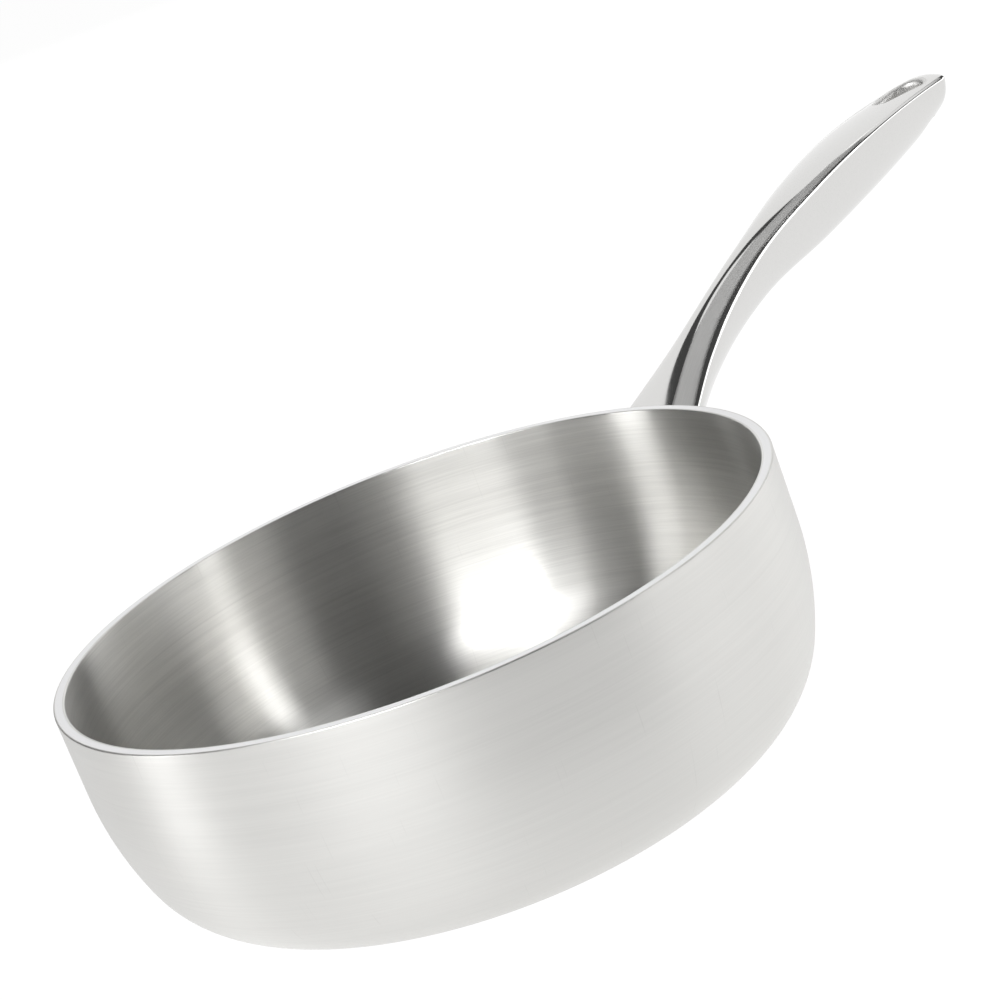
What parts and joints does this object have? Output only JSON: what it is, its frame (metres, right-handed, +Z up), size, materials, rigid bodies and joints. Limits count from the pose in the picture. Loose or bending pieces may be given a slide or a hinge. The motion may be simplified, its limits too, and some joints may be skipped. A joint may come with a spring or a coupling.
{
  "type": "saucier pan",
  "caption": "Round-sided clad steel saucier pan with a straight rim band, a flat base and an arched hollow handle with a teardrop hang slot.",
  "frame": {"origin": "centre of the flat base, on its underside", "axes": "+Z up along the pan's axis, +X along the handle towards its tip"},
  "size_m": [0.357, 0.186, 0.0986],
  "materials": {
    "satin_liner": "brushed round the pan, satin",
    "core_aluminium": "ground edge, seen only at the rim",
    "satin_shell": "fine brushing round the pan, satin",
    "polished_handle": "mirror polished",
    "linished_seam": "linished lengthwise, satin",
    "foot_steel": "polished after welding"
  },
  "bodies": {
    "root": {"cooking_liner": "satin_liner", "aluminium_core": "core_aluminium", "outer_shell": "satin_shell", "handle_upper_shell": "polished_handle", "handle_lower_shell": "polished_handle", "handle_seam_welds": "linished_seam", "hang_slot_sleeve": "polished_handle", "handle_foot_plate": "foot_steel", "handle_foot_weld": "foot_steel", "foot_weld_pads": "foot_steel"}
  },
  "joints": []
}
